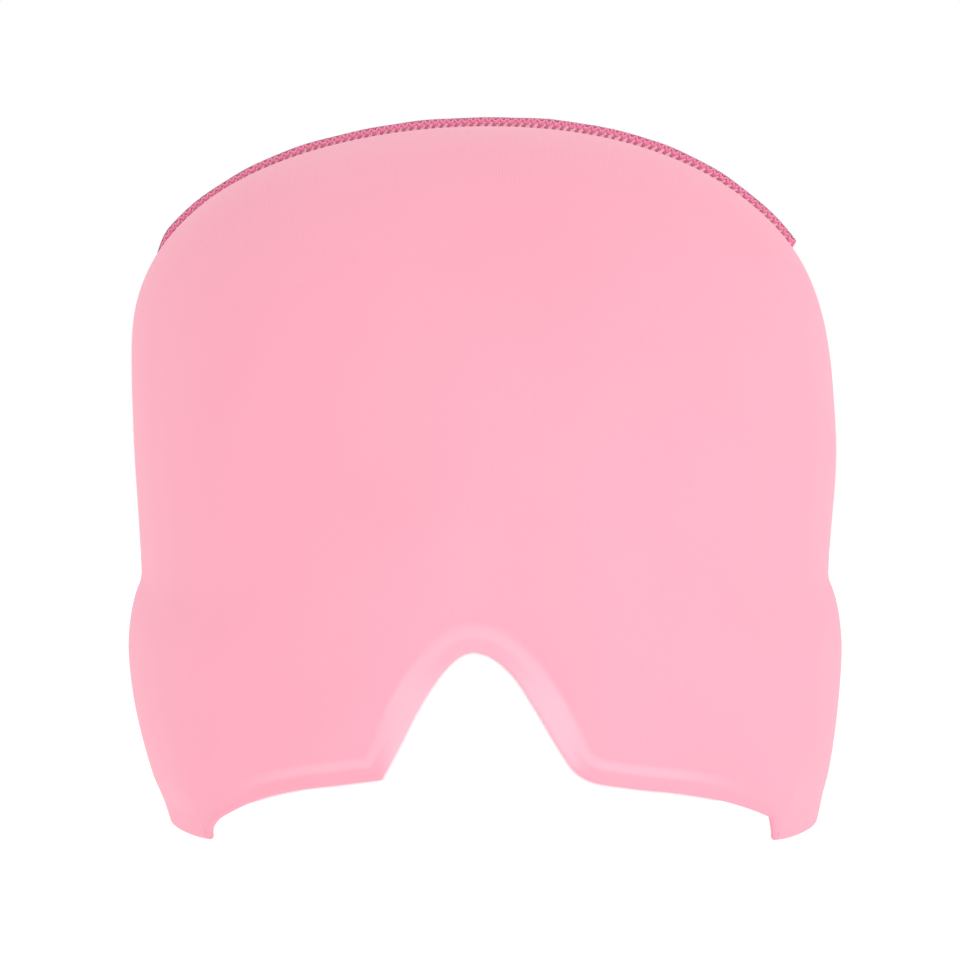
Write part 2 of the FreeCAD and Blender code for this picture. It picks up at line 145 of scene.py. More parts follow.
# how far the limp cap leans to its left, and how far its sides are drawn in, by height
LEAN = np.array([(-30, 2.3), (0, 2.1), (12, 1.3), (32, 0.2), (60, 0.0), (85, 0.1), (105, -0.7),
                 (125, -1.8), (145, -1.8), (156, -1.0), (170, 0.9)], float)
LEAN_LINE = curve_through(LEAN, 400)
DRAWN = np.array([(-30, 0.3), (0, 0.4), (12, 0.7), (30, 0.9), (52, 0.65), (81, 0.5), (105, 0.45), (122, 0.2),
                  (134, 0.4), (145, 0.95), (156, 0.9), (164, 0.3), (170, 0.0)], float)
DRAWN_LINE, DRAWN_AT = curve_through(DRAWN, 400), 84


def lean(z):
    """How far the limp cap stands off its own middle plane at a height."""
    return np.interp(z, LEAN_LINE[:, 0], LEAN_LINE[:, 1])


def settle(p):
    """From the form's own shape to the way the cap stands: it leans, and creases over the ears."""
    x, y, z = p[..., 0], p[..., 1], p[..., 2]
    lobe = LOBE_ROOT + LOBE_OUT * np.sqrt(np.clip(1 - ((z - LOBE_MIDDLE) / LOBE_HALF) ** 2, 0, 1))
    neck = half_width(np.maximum(z, 57)) * np.where(z < 57, 1 - 0.0006 * (57 - z), 1)
    gap = lobe - neck
    creased = (lobe + neck + np.sqrt(gap**2 + 0.05)) / 2
    strength = smooth((y + 46) / 34) * (1 - smooth((y - 46) / 34)) * smooth((z - 40) / 4)
    outwards = np.sign(x) * np.abs(x / np.maximum(half_width(z), 1)) * (creased - half_width(z)) * strength
    drawn = np.interp(z, DRAWN_LINE[:, 0], DRAWN_LINE[:, 1]) * x / DRAWN_AT
    foot = 9 * np.exp(-(((np.abs(x) - 67) / 10) ** 2)) * (1 - smooth(z / 32)) * smooth(-y / 25)
    return np.stack([x - drawn + outwards * (z < 75) + lean(z), y - foot, z], axis=-1)


def chart_point(chart, side):
    """Chart (two numbers, 1 = the seam plane all round) to the standing cap's surface."""
    angle = np.arctan2(chart[..., 0], chart[..., 1])
    reach = np.hypot(chart[..., 0], chart[..., 1]) * np.pi / 2
    length = outline_reach(angle) * np.sin(reach)
    x, z = length * np.sin(angle), CENTRE_HEIGHT + length * np.cos(angle)
    y = side * depth_at(x, z, side) * np.where(np.cos(reach) < 0, -1, 1)
    y = np.where(np.abs(np.cos(reach)) < 1e-9, 0, y)
    return settle(np.stack([x, y, z], axis=-1))


def chart_of(x, z):
    """The chart place of a point of the form seen from the front."""
    angle = np.arctan2(x, z - CENTRE_HEIGHT)
    share = np.hypot(x, z - CENTRE_HEIGHT) / outline_reach(angle)
    reach = np.arcsin(np.clip(share, 0, 1)) * 2 / np.pi
    return np.stack([reach * np.sin(angle), reach * np.cos(angle)], axis=-1)


def chart_frame(chart, side):
    """Surface derivatives by the two chart numbers, and the outward normal."""
    h = 2e-4
    du = (chart_point(chart + [h, 0], side) - chart_point(chart - [h, 0], side)) / (2 * h)
    dv = (chart_point(chart + [0, h], side) - chart_point(chart - [0, h], side)) / (2 * h)
    normal = np.cross(du, dv) * (-side)
    return du, dv, normal / np.linalg.norm(normal, axis=-1, keepdims=True)


# ------------------------------------------------------------------ lower edges

def rim_run(start, end):
    """The rim on the floor between two x values of the form, evenly turned."""
    turn = [np.arcsin(np.clip(abs(v) / RIM_HALF, 0, 1) ** (SECTION / 2)) * np.sign(v) for v in (start, end)]
    t = np.linspace(*turn, 60)
    x = RIM_HALF * np.sign(t) * np.abs(np.sin(t)) ** (2 / SECTION)
    return np.stack([x, np.zeros_like(x)], axis=1)


def standing(points):
    """Points given where the turned edge shows, back in the form's own place."""
    p = np.array(points, float)
    form = np.stack([p[:, 0] - lean(p[:, 1]), p[:, 1]], axis=1)
    for _ in range(3):
        place = chart_of(form[:, 0], form[:, 1])
        solid, normal = chart_point(place, FRONT), chart_frame(place, FRONT)[2]
        shown = solid - normal * (EDGE_SINK + ROLL)
        form = form + p - shown[:, [0, 2]]
        form[:, 1] = np.maximum(form[:, 1], 0)
    return form


def front_edge():
    """The runs of the front edge between its corners: rim, step, under-eye edge and nose notch."""
    runs = [
        [(-61.8, 0.0), (-61.8, 1.6), (-61.4, 3.0), (-60.3, 4.6), (-58.6, 6.0)],
        [(-58.6, 6.0), (-50.3, 10.2), (-40.9, 12.9), (-31.9, 14.4), (-22.8, 15.8)],
        [(-22.8, 15.8), (-19.1, 22.6), (-14.7, 31.3), (-10.3, 38.2), (-6.2, 42.6), (-2.7, 44.0)],
        [(-2.7, 44.0), (1.6, 42.7), (6.3, 38.5), (10.7, 31.8), (15.1, 24.3), (18.3, 19.2)],
        [(18.3, 19.2), (20.1, 17.2), (22.3, 15.8), (25.4, 14.8)],
        [(25.4, 14.8), (33.8, 13.4), (42.8, 12.1), (52.0, 10.1), (59.0, 7.8), (63.9, 5.6)],
        [(63.9, 5.6), (64.5, 3.0), (64.8, 0.0)],
    ]
    made = [standing(curve_through(run, 120)) for run in runs]
    made.insert(0, rim_run(-RIM_HALF, made[0][0, 0]))
    made.append(rim_run(made[-1][-1, 0], RIM_HALF))
    return made


def back_edge():
    """The back edge: the rim under the ears, then the arch over the nape."""
    side_x, top_x = 70.0, 47.56
    foot = np.linspace(side_x, top_x, 120)
    foot = np.stack([foot, np.maximum(47 - np.sqrt(2500 - (foot - 87.2) ** 2), 0)], axis=1)
    top = np.linspace(top_x, -top_x, 240)
    top = np.stack([top, -20 + np.sqrt(3600 - top**2)], axis=1)
    arch = np.concatenate([foot, top[1:-1], (foot * [-1, 1])[::-1]])[::-1]
    return [rim_run(-RIM_HALF, -side_x), arch, rim_run(side_x, RIM_HALF)]


def spread(first, last, pitch, ends):
    """Stations from first to last: close at the given ends, then at an even pitch."""
    near = np.array([0.0, 0.35, 0.8, 1.4, 2.2, 3.2, 4.4])
    length = last - first
    low = near if ends[0] else near[:1]
    high = near if ends[1] else near[:1]
    inner = length - low[-1] - high[-1]
    middle = np.linspace(low[-1], length - high[-1], max(int(round(inner / pitch)), 2) + 1)
    return first + np.concatenate([low[:-1], middle, (length - high[::-1])[1:]])


def edge_columns(side, pitch):
    """Where each column meets the lower edge, as points of the form seen from the front."""
    columns = []
    runs = front_edge() if side == FRONT else back_edge()
    for number, run in enumerate(runs):
        solid = np.stack([run[:, 0], side * depth_at(run[:, 0], run[:, 1], side), run[:, 1]], axis=1)
        if number == 0:
            solid[0, 1] = 0
        if number == len(runs) - 1:
            solid[-1, 1] = 0
        at = run_length(solid)
        tight = at[-1] < 9
        ends = (number == 0, number == len(runs) - 1)
        stations = spread(0, at[-1], 0.6 if tight else pitch, ends)
        both = read_at(stations, at, run)
        columns.append(both if number == 0 else both[1:])
    return np.concatenate(columns)


# ------------------------------------------------------------------ columns of one half

def distance_to_line(points, line):
    """Distance from each point to a polyline, worked through in batches."""
    a, b = line[:-1], line[1:]
    ab = b - a
    flat = points.reshape(-1, 3)
    best = np.empty(len(flat))
    batch = 4000
    for start in range(0, len(flat), batch):
        part = flat[start:start + batch, None, :]
        t = np.clip(((part - a) * ab).sum(-1) / (ab**2).sum(-1), 0, 1)
        gap = np.linalg.norm(part - (a + t[..., None] * ab), axis=-1)
        best[start:start + batch] = gap.min(axis=1)
    return best.reshape(points.shape[:-1])


def blur_along(values, at, width):
    """Gaussian average along a line whose points lie at the stations given."""
    weight = np.exp(-0.5 * ((at[:, None] - at[None, :]) / width) ** 2)
    spacing = np.gradient(at)
    weight = weight * spacing[None, :]
    return (weight @ values) / weight.sum(axis=1)[:, None]


# how far from the crown seam and from the lower edge the close rows lie
TOP_STATIONS = np.array([0.95, 1.25, 1.7, 2.3, 3.1, 4.2, 5.6, 7.2])
EDGE_STATIONS = np.array([12.0, 10.2, 8.6, 7.2, 6.0, 5.0, 4.1, 3.3, 2.6, 2.0, 1.5, 1.1, 0.75, 0.4, 0.0])
PATCH_ROWS = 61   # rows of the first, coarse layout above the band
NEAR_ROWS = 62    # rows of it that are measured from the edge


class Half:
    """The grid of one half: chart places, surface points, normals and distances to edge and seams."""

    def __init__(self, side, pitch=1.15, rows=84):
        self.side = side
        edge_form = edge_columns(side, pitch)
        edge = chart_of(edge_form[:, 0], edge_form[:, 1])
        for end in (0, -1):
            edge[end] /= np.linalg.norm(edge[end])
        count = len(edge)
        edge_solid = chart_point(edge, side)
        along = run_length(edge_solid)

        # directions into the cloth, turned gently round the corners
        du, dv, normal = chart_frame(edge, side)
        tangent = np.gradient(edge_solid, along, axis=0)
        inwards = np.cross(normal, tangent)
        inwards *= np.sign(inwards[:, 2:3].sum())
        inwards /= np.linalg.norm(inwards, axis=1, keepdims=True)
        inwards = blur_along(inwards, along, 13.0)
        inwards /= np.linalg.norm(inwards, axis=1, keepdims=True)
        metric = np.stack([du, dv], axis=-1)
        step = np.stack([np.linalg.lstsq(m, i, rcond=None)[0] for m, i in zip(metric, inwards)])
        reach = np.linspace(0, 13.5, 28)
        band = edge[:, None, :] + reach[None, :, None] * step[:, None, :]
        size = np.linalg.norm(band, axis=-1, keepdims=True)
        band = np.where(size > 0.9999, band / size * 0.9999, band)
        corner = []
        for end, sign in ((0, -1), (-1, 1)):
            seam = self.seam_line(sign, 0.0, SEAM_TOP[sign], 500)
            solid = chart_point(seam, side)
            at = run_length(solid)
            band[end] = read_at(reach, at, seam)
            corner.append(read_at(np.linspace(reach[-1], at[-1], PATCH_ROWS), at, seam))
            for row in (band[end], corner[-1]):
                row /= np.linalg.norm(row, axis=1, keepdims=True)

        # the crown seam, then a patch between it, the side seams and the band along the edge
        top_angle = [self.outline_angle(sign, SEAM_TOP[sign]) for sign in (-1, 1)]
        fine = np.linspace(*top_angle, 4000)
        fine = np.stack([np.sin(fine), np.cos(fine)], axis=1)
        at = run_length(chart_point(fine, side))
        crown = read_at(np.linspace(0, 1, count) * at[-1], at, fine)
        crown /= np.linalg.norm(crown, axis=1, keepdims=True)
        u = np.linspace(0, 1, count)[:, None, None]
        v = np.linspace(0, 1, PATCH_ROWS)[None, :, None]
        low = band[:, -1][:, None, :]
        high = crown[:, None, :]
        left, right = corner[0][None, :, :], corner[1][None, :, :]
        flat = (
            (1 - u) * left + u * right + (1 - v) * low + v * high
            - (1 - u) * (1 - v) * low[:1] - u * (1 - v) * low[-1:]
            - (1 - u) * v * high[:1] - u * v * high[-1:]
        )
        columns = np.concatenate([band, flat[:, 1:]], axis=1)[:, ::-1]

        # stations down each column: by distance from the crown seam, evenly, then by distance to the edge
        solid = chart_point(columns, side)
        length = np.concatenate(
            [np.zeros((count, 1)), np.cumsum(np.linalg.norm(np.diff(solid, axis=1), axis=2), axis=1)],
            axis=1,
        )
        near = distance_to_line(solid[:, -NEAR_ROWS:], edge_solid)
        stations = np.empty((count, len(TOP_STATIONS) + rows + len(EDGE_STATIONS)))
        for k in range(count):
            m = np.maximum.accumulate(near[k][::-1])
            m[0] = 0
            at = length[k, -NEAR_ROWS:][::-1]
            low_part = np.interp(EDGE_STATIONS, m + np.arange(NEAR_ROWS) * 1e-9, at)
            low_part[-1] = length[k, -1]
            stations[k, :len(TOP_STATIONS)] = TOP_STATIONS
            middle = np.linspace(TOP_STATIONS[-1], low_part[0], rows + 2)[1:-1]
            stations[k, len(TOP_STATIONS):-len(EDGE_STATIONS)] = middle
            stations[k, -len(EDGE_STATIONS):] = low_part
        self.chart = np.stack([read_at(stations[k], length[k], columns[k]) for k in range(count)])
        for end in (0, -1):
            self.chart[end] /= np.linalg.norm(self.chart[end], axis=-1, keepdims=True)
        self.point = chart_point(self.chart, side)
        self.normal = chart_frame(self.chart, side)[2]
        self.crown_point = chart_point(crown, side)
        self.crown_normal = chart_frame(crown, side)[2]
        self.edge_gap = distance_to_line(self.point, edge_solid)
        self.edge_gap[:, -1] = 0
        self.seam_gap = np.abs(self.point[..., 1])
        self.down = stations
        steps = np.linalg.norm(np.diff(self.point, axis=0), axis=2)
        across = np.concatenate([np.zeros((1, self.point.shape[1])), np.cumsum(steps, axis=0)])
        self.across = across - across[-1:] / 2
        gradient = np.gradient(edge_solid, along, axis=0)
        gradient /= np.linalg.norm(gradient, axis=1, keepdims=True)
        out = -np.cross(normal, blur_along(gradient, along, 0.8))
        out *= -np.sign(out[:, 2].sum())
        self.edge_out = out / np.linalg.norm(out, axis=1, keepdims=True)
        self.edge_along = along

    @staticmethod
    def outline_angle(sign, height):
        return sign * np.arctan2(half_width(height), height - CENTRE_HEIGHT)

    def seam_line(self, sign, low, high, count):
        angle = np.linspace(self.outline_angle(sign, low), self.outline_angle(sign, high), count)
        return np.stack([np.sin(angle), np.cos(angle)], axis=1)


# ------------------------------------------------------------------ meshes

def new_mesh(name, verts, quads, attributes=None):
    """A mesh piece from millimetre points and four-sided faces."""
    mesh = bpy.data.meshes.new(name)
    verts = np.asarray(verts, np.float64).reshape(-1, 3) * 0.001
    quads = np.asarray(quads, np.int32).reshape(-1, 4)
    mesh.vertices.add(len(verts))
    mesh.vertices.foreach_set("co", verts.astype(np.float32).ravel())
    mesh.loops.add(quads.size)
    mesh.loops.foreach_set("vertex_index", quads.ravel())
    mesh.polygons.add(len(quads))
    mesh.polygons.foreach_set("loop_start", np.arange(0, quads.size, 4, dtype=np.int32))
    mesh.update(calc_edges=True)
    mesh.validate()
    for key, values in (attributes or {}).items():
        values = np.asarray(values, np.float32)
        kind = "FLOAT" if values.ndim == 1 else "FLOAT_VECTOR"
        field = "value" if values.ndim == 1 else "vector"
        mesh.attributes.new(key, kind, "POINT").data.foreach_set(field, values.ravel())
    mesh.shade_smooth()
    piece = bpy.data.objects.new(name, mesh)
    bpy.context.scene.collection.objects.link(piece)
    return piece


def thick_strip(name, a, b, attributes, side):
    """A closed skin between two grids of points, a outside and b inside at their first rows."""
    columns, rows = a.shape[:2]
    index = np.arange(columns * rows).reshape(columns, rows)
    twin = index + columns * rows

    def grid(i):
        return np.stack([i[:-1, :-1], i[1:, :-1], i[1:, 1:], i[:-1, 1:]], axis=-1).reshape(-1, 4)

    def wall(p, q):
        return np.stack([p[:-1], p[1:], q[1:], q[:-1]], axis=-1).reshape(-1, 4)

    faces = [
        grid(index)[:, ::-1],
        grid(twin),
        wall(index[:, 0], twin[:, 0]),
        wall(index[:, -1], twin[:, -1])[:, ::-1],
        wall(index[0], twin[0])[:, ::-1],
        wall(index[-1], twin[-1]),
    ]
    quads = np.concatenate(faces)
    if side == BACK:
        quads = quads[:, ::-1]
    points = np.concatenate([a.reshape(-1, 3), b.reshape(-1, 3)])
    both = {k: np.concatenate([v[0].reshape(columns * rows, -1), v[1].reshape(columns * rows, -1)]).squeeze()
            for k, v in attributes.items()}
    return new_mesh(name, points, quads, both)


def tube(points, radius, sides=8):
    """Points and faces of a round tube along a line."""
    p = np.asarray(points, float)
    t = np.gradient(p, axis=0)
    t /= np.linalg.norm(t, axis=1, keepdims=True)
    u = np.cross(t, [0.0, 1.0, 0.0])
    weak = np.linalg.norm(u, axis=1) < 0.2
    u[weak] = np.cross(t[weak], [0.0, 0.0, 1.0])
    u /= np.linalg.norm(u, axis=1, keepdims=True)
    v = np.cross(t, u)
    turn = np.linspace(0, 2 * np.pi, sides, endpoint=False)
    r = np.broadcast_to(np.reshape(radius, (-1, 1, 1)), (len(p), 1, 1))
    way = np.cos(turn)[None, :, None] * u[:, None] + np.sin(turn)[None, :, None] * v[:, None]
    ring = p[:, None] + r * way
    i = np.arange(len(p) * sides).reshape(len(p), sides)
    j = np.roll(i, -1, axis=1)
    quads = np.stack([i[:-1], j[:-1], j[1:], i[1:]], axis=-1).reshape(-1, 4)
    verts = ring.reshape(-1, 3)
    along = np.repeat(run_length(p), sides)
    twist = np.stack([along, np.tile(turn, len(p)), np.zeros(len(p) * sides)], axis=1)
    return verts, quads, twist


def join_tubes(name, tubes):
    """One mesh piece from several tubes."""
    verts, quads, twist, start = [], [], [], 0
    for v, q, w in tubes:
        verts.append(v)
        quads.append(q + start)
        twist.append(w)
        start += len(v)
    return new_mesh(name, np.concatenate(verts), np.concatenate(quads), {"thread": np.concatenate(twist)})


# ------------------------------------------------------------------ layers

def outer_depth(half):
    """How far the cover lies below the form: sewn flat along the edge and drawn in at the seams."""
    m, s = half.edge_gap, half.seam_gap
    band = EDGE_SINK * (1 - smooth((m - 5.2) / 8.5)) * (1 - 0.9 * np.exp(-((s / 24.0) ** 2)))
    crease = 0.3 * np.exp(-((m - 5.4) / 1.1) ** 2) * smooth((s - 12) / 20)
    seam = 0.95 * np.exp(-((s / 3.0) ** 1.5))
    return (band + seam + np.sqrt((band - seam) ** 2 + 0.05)) / 2 + crease


def relief(half):
    """Soft hollows and swells of the padding, in millimetres outwards."""
    x, z = half.point[..., 0], half.point[..., 2]
    if half.side == BACK:
        return 0.35 * np.sin(x / 21 + 0.4) * np.sin(z / 17 + 1.0) * smooth(half.edge_gap / 15)
    fade = smooth(half.edge_gap / 12) * smooth(half.seam_gap / 20)
    brow = np.zeros_like(x)
    for x0, z0, x1, z1, width, height in (
        (-44, 51, -14, 72, 10, 0.8), (0, 78, 18, 69, 10, 0.7), (16, 70, 29, 55, 9, 0.7),
    ):
        run, climb = x1 - x0, z1 - z0
        along = np.clip(((x - x0) * run + (z - z0) * climb) / (run**2 + climb**2), 0, 1)
        gap = np.hypot(x - x0 - along * run, z - z0 - along * climb)
        brow += height * np.exp(-((gap / width) ** 2))
    eyes = sum(-1.2 * np.exp(-(((x - c) / 17) ** 2 + ((z - 36) / 12) ** 2)) for c in (-37, 37))
    bridge = -0.6 * np.exp(-(((x + 1) / 10) ** 2 + ((z - 58) / 12) ** 2))
    waves = 0.25 * np.sin(x / 13 + 0.7) * np.sin(z / 11 + 0.3)
    return fade * (brow + eyes + bridge + waves)


def skin(half, depth):
    """The half's points at a depth below the form."""
    return half.point - half.normal * depth[..., None]


def rolled(half, inside, radius, count, base_depth):
    """Rows that turn half round at the lower edge, about a line that far inside it."""
    turn = np.linspace(0, np.pi, count)
    edge, normal, out = half.point[:, -1], half.normal[:, -1], half.edge_out
    off = (radius * np.sin(turn) - inside)[None, :, None] * out[:, None, :]
    deep = (base_depth[:, None] + ROLL - radius * np.cos(turn)[None, :])[..., None] * normal[:, None, :]
    return edge[:, None, :] + off - deep


def to_floor(rows, start):
    """Let the turned edge down to the floor where the rim stands on it, and say how far it falls."""
    lowest = rows[:, start:, 2].min(axis=1)
    on_rim = smooth(1 - (lowest - 0.2) / 1.2)
    drop = np.maximum(lowest - 0.02, 0) * on_rim
    share = np.concatenate([smooth(np.linspace(0, 1, EASE_ROWS)), np.ones(rows.shape[1] - start)])
    fall = drop[:, None] * share[None, :]
    moved = rows.copy()
    moved[:, start - EASE_ROWS:, 2] -= fall
    return moved, fall


def edge_rows(half, gaps, depth):
    """Rows beside the lower edge at the given distances into the cloth, at one depth per column."""
    chosen = [int(np.argmin(np.abs(EDGE_STATIONS - g))) - len(EDGE_STATIONS) for g in gaps]
    return half.point[:, chosen] - half.normal[:, chosen] * depth[:, None, None]


class Crown:
    """The crown seam's line, the way up from it, and how high the seam allowance stands along it."""

    def __init__(self, half):
        self.point, up = half.crown_point, half.crown_normal * [1, 0, 1]
        self.up = up / np.linalg.norm(up, axis=1, keepdims=True)
        self.at = run_length(self.point)
        self.length = self.at[-1]

    def height(self, at):
        """The ridge's height along the seam: it rises from one end, wears unevenly and stops short."""
        rise = smooth((at + 0.3) / 8.0) ** 0.7 * smooth((self.length - at + 0.35) / 1.3)
        worn = np.interp(at / self.length, RIDGE_WEAR[:, 0], RIDGE_WEAR[:, 1])
        return (RIDGE + worn + 0.07 * np.sin(at / 5.1) + 0.05 * np.sin(at / 2.3 + 1)) * rise + 0.02

    def place(self, at, share, y):
        """A point beside the ridge: share of the ridge's height, and y off the seam plane."""
        up = read_at(at, self.at, self.up)
        moved = read_at(at, self.at, self.point) + up * (share * self.height(at) - 0.35)[..., None]
        moved[..., 1] += y
        return moved


def make_cover(half, crown, name):
    """Cover cloth of one half: seam allowance, outer skin, rolled edge and turned-in hem."""
    depth = cover_depth(half)
    last = half.point.shape[1] - int((EDGE_STATIONS < 1.05).sum())
    base = depth[:, last - 1]
    fold_a = [(1.0, 0.30), (1.0, 0.62), (0.92, 0.80), (0.72, 0.82), (0.42, 0.82), (0.18, 0.84)]
    fold_b = [(0.98, 0.12), (0.96, 0.04), (0.90, 0.03), (0.70, 0.03), (0.40, 0.03), (0.16, 0.03)]
    at = np.linspace(0, crown.length, len(half.point))
    ridge_a, ridge_b = (
        np.stack([crown.place(at, h, half.side * gap) for h, gap in fold], axis=1)
        for fold in (fold_a, fold_b)
    )
    hem_gaps = [1.1, 1.5, 2.0, 2.6, 3.3, 4.1, 5.0]
    ridge_rows, roll_rows, hem_rows = len(fold_a), 9, len(hem_gaps)
    turned_rows = roll_rows + hem_rows
    a = np.concatenate([
        ridge_a, skin(half, depth)[:, :last], rolled(half, ROLL, ROLL, roll_rows, base),
        edge_rows(half, hem_gaps, base + 2 * ROLL)], axis=1)
    b = np.concatenate([
        ridge_b, skin(half, depth + CLOTH)[:, :last], rolled(half, ROLL, ROLL - CLOTH, roll_rows, base),
        edge_rows(half, hem_gaps, base + 2 * ROLL - CLOTH)], axis=1)
    a, fall = to_floor(a, ridge_rows + last)
    b[:, ridge_rows + last - EASE_ROWS:, 2] -= fall
    flat, far = np.zeros(a.shape[:2]), 99
    gap = np.concatenate([
        flat[:, :ridge_rows] + far, half.edge_gap[:, :last],
        flat[:, :roll_rows], flat[:, :hem_rows] + 3], axis=1)
    seam = np.concatenate([flat[:, :ridge_rows], half.down[:, :last], flat[:, :turned_rows] + far], axis=1)
    down = np.concatenate([
        half.down[:, :1] - [4.2, 3.9, 3.4, 2.8, 1.8, 0.9], half.down[:, :last],
        half.down[:, last - 1:last] + np.arange(1, turned_rows + 1) * 0.5], axis=1)
    first_across, last_across = [half.across[:, :1]] * ridge_rows, [half.across[:, -1:]] * turned_rows
    across = np.concatenate(first_across + [half.across[:, :last]] + last_across, axis=1)
    lay = np.stack([across, down, half.side * LAY_SHIFT + flat], axis=-1)
    attributes = {"edge_gap": (gap, gap), "seam_gap": (seam, seam), "lay": (lay, lay)}
    return thick_strip(name, a, b, attributes, half.side)


def swollen(half):
    """Millimetres that the cover stands out after a cloth simulation held at its seams and edge.

    The pressure acts inwards, so most of the sheet sinks. Only the part that moves outwards is kept,
    and it is small: the padded look comes from relief().
    """
    columns = np.unique(np.linspace(0, half.point.shape[0] - 1, 89).round().astype(int))
    rows = np.unique(np.linspace(0, half.point.shape[1] - 1, 43).round().astype(int))
    start = skin(half, outer_depth(half) - relief(half))[columns][:, rows]
    index = np.arange(start[..., 0].size).reshape(start.shape[:2])
    quads = np.stack([index[:-1, :-1], index[1:, :-1], index[1:, 1:], index[:-1, 1:]], -1).reshape(-1, 4)
    sheet = new_mesh("sheet", start, quads[:, ::-half.side])
    held = np.ones(index.shape, bool)
    held[1:-1, 1:-1] = False
    group = sheet.vertex_groups.new(name="held")
    group.add([int(i) for i in index[held]], 1.0, "REPLACE")
    cloth = sheet.modifiers.new("cloth", "CLOTH")
    cloth.settings.vertex_group_mass = "held"
    cloth.settings.quality = 6
    cloth.settings.mass = 0.2
    cloth.settings.tension_stiffness = cloth.settings.compression_stiffness = 12
    cloth.settings.shear_stiffness = 4
    cloth.settings.bending_stiffness = 0.3
    cloth.settings.use_pressure = True
    cloth.settings.uniform_pressure_force = 4
    cloth.settings.effector_weights.gravity = 0
    cloth.collision_settings.use_collision = False
    for number in range(1, 21):
        bpy.context.scene.frame_set(number)
    ready = sheet.evaluated_get(bpy.context.evaluated_depsgraph_get()).data
    moved = np.empty(index.size * 3, np.float32)
    ready.vertices.foreach_get("co", moved)
    bpy.data.objects.remove(sheet)
    bpy.context.scene.frame_set(1)
    normal = half.normal[columns][:, rows]
    out = ((moved.reshape(start.shape) * 1000 - start) * normal).sum(-1)
    out = SWELL_CAP * np.tanh(np.maximum(out, 0) / SWELL_CAP)
    wide = np.stack([np.interp(np.arange(half.point.shape[1]), rows, line) for line in out])
    full = np.arange(half.point.shape[0])
    wide = read_at(full, columns, wide)
    for axis, reach in ((0, 4), (1, 3)):
        weight = np.exp(-0.5 * (np.arange(-3 * reach, 3 * reach + 1) / reach) ** 2)
        pad = [(0, 0), (0, 0)]
        pad[axis] = (3 * reach, 3 * reach)
        line = np.pad(wide, pad, mode="edge")
        wide = np.apply_along_axis(lambda v: np.convolve(v, weight / weight.sum(), "valid"), axis, line)
    return wide * smooth(half.edge_gap / 12) * smooth(half.seam_gap / 32)


def cover_depth(half):
    """Depth of the cover's outer face below the form."""
    return outer_depth(half) - relief(half) - half.swell


def wall_depth(half):
    """Depth of the lining's inner face: the wall is thin where it is sewn and full over the gel."""
    full = smooth((half.edge_gap - 4.5) / 9) * (0.45 + 0.55 * smooth((half.seam_gap - 1.5) / 8))
    at_hem = outer_depth(half)[:, -1:] + 2 * ROLL + CLOTH + 0.02
    return 4.9 + 2.6 * full + (at_hem - 4.9) * (1 - smooth((half.edge_gap - 0.8) / 1.8))


def lining_shown(half):
    """How far the lining's bead shows past the cover along the lower edge."""
    if half.side == BACK:
        return np.full(len(half.edge_along), 0.1)
    share = half.edge_along / half.edge_along[-1]
    shown = 0.05 + 0.45 * smooth((share - 0.19) / 0.06) * (1 - smooth((share - 0.76) / 0.06))
    return shown - 0.9 * smooth((np.abs(half.point[:, -1, 0]) - 52) / 6)


def make_lining(half, name):
    """Lining of one half, with a rounded lower bead that shows below the cover's edge."""
    inner = wall_depth(half)
    last = half.point.shape[1] - int((EDGE_STATIONS < 0.7).sum())
    normal, out = half.normal[:, -1], half.edge_out
    view = out * [1, 0, 1]
    view /= np.linalg.norm(view, axis=1, keepdims=True)
    set_in = inner[:, -1] - CLOTH / 2 - EDGE_SINK - ROLL
    drop = (lining_shown(half) + set_in * (normal * view).sum(1)) / np.maximum((out * view).sum(1), 0.3)
    drop = np.clip(drop * np.where(drop < 0, 1.7, 1), -3.2, 0.8)
    ease = np.clip(1 - half.edge_gap[:, :last] / 9, 0, 1) ** 2
    moved = half.point[:, :last] + out[:, None] * (drop[:, None] * ease)[..., None]
    a = moved - half.normal[:, :last] * (inner[:, :last] - CLOTH)[..., None]
    b = moved - half.normal[:, :last] * inner[:, :last, None]
    bead_rows = 7
    mid = inner[:, last - 1] - CLOTH / 2
    tip = half.point[:, -1] + out * drop[:, None]
    beads = []
    for way in (-1, 1):
        rows = []
        for t in np.linspace(0.0, np.pi / 2, bead_rows):
            along = 0.6 * (np.sin(t) - 1)
            rows.append(tip + out * along - normal * (mid + way * (0.5 * np.cos(t) + 0.02))[:, None])
        beads.append(np.stack(rows, axis=1))
    seam = [
        (half.crown_point - half.crown_normal * depth + [0, half.side * 0.04, 0])[:, None]
        for depth in (inner[:, :1] - CLOTH, inner[:, :1])
    ]
    a, b = np.concatenate([seam[0], a, beads[0]], axis=1), np.concatenate([seam[1], b, beads[1]], axis=1)
    a, fall = to_floor(a, last + 1)
    b[:, last + 1 - EASE_ROWS:, 2] -= fall
    for rows in (a, b):
        rows[..., 2] = np.maximum(rows[..., 2], 0.05)
    below = half.down[:, last - 1:last] + np.arange(1, bead_rows + 1) * 0.3
    down = np.concatenate([half.down[:, :1] * 0, half.down[:, :last], below], axis=1)
    across = [half.across[:, :1], half.across[:, :last]] + [half.across[:, last - 1:last]] * bead_rows
    across = np.concatenate(across, axis=1)
    lay = np.stack([across, down, np.full(down.shape, half.side * LAY_SHIFT)], axis=-1)
    return thick_strip(name, a, b, {"lay": (lay, lay)}, half.side)


# columns left free at each side, rows below the crown seam, rows kept of those beside the edge
GEL_AREA = (9, 7, 3)
FILM_AREA = (6, 5, 6)


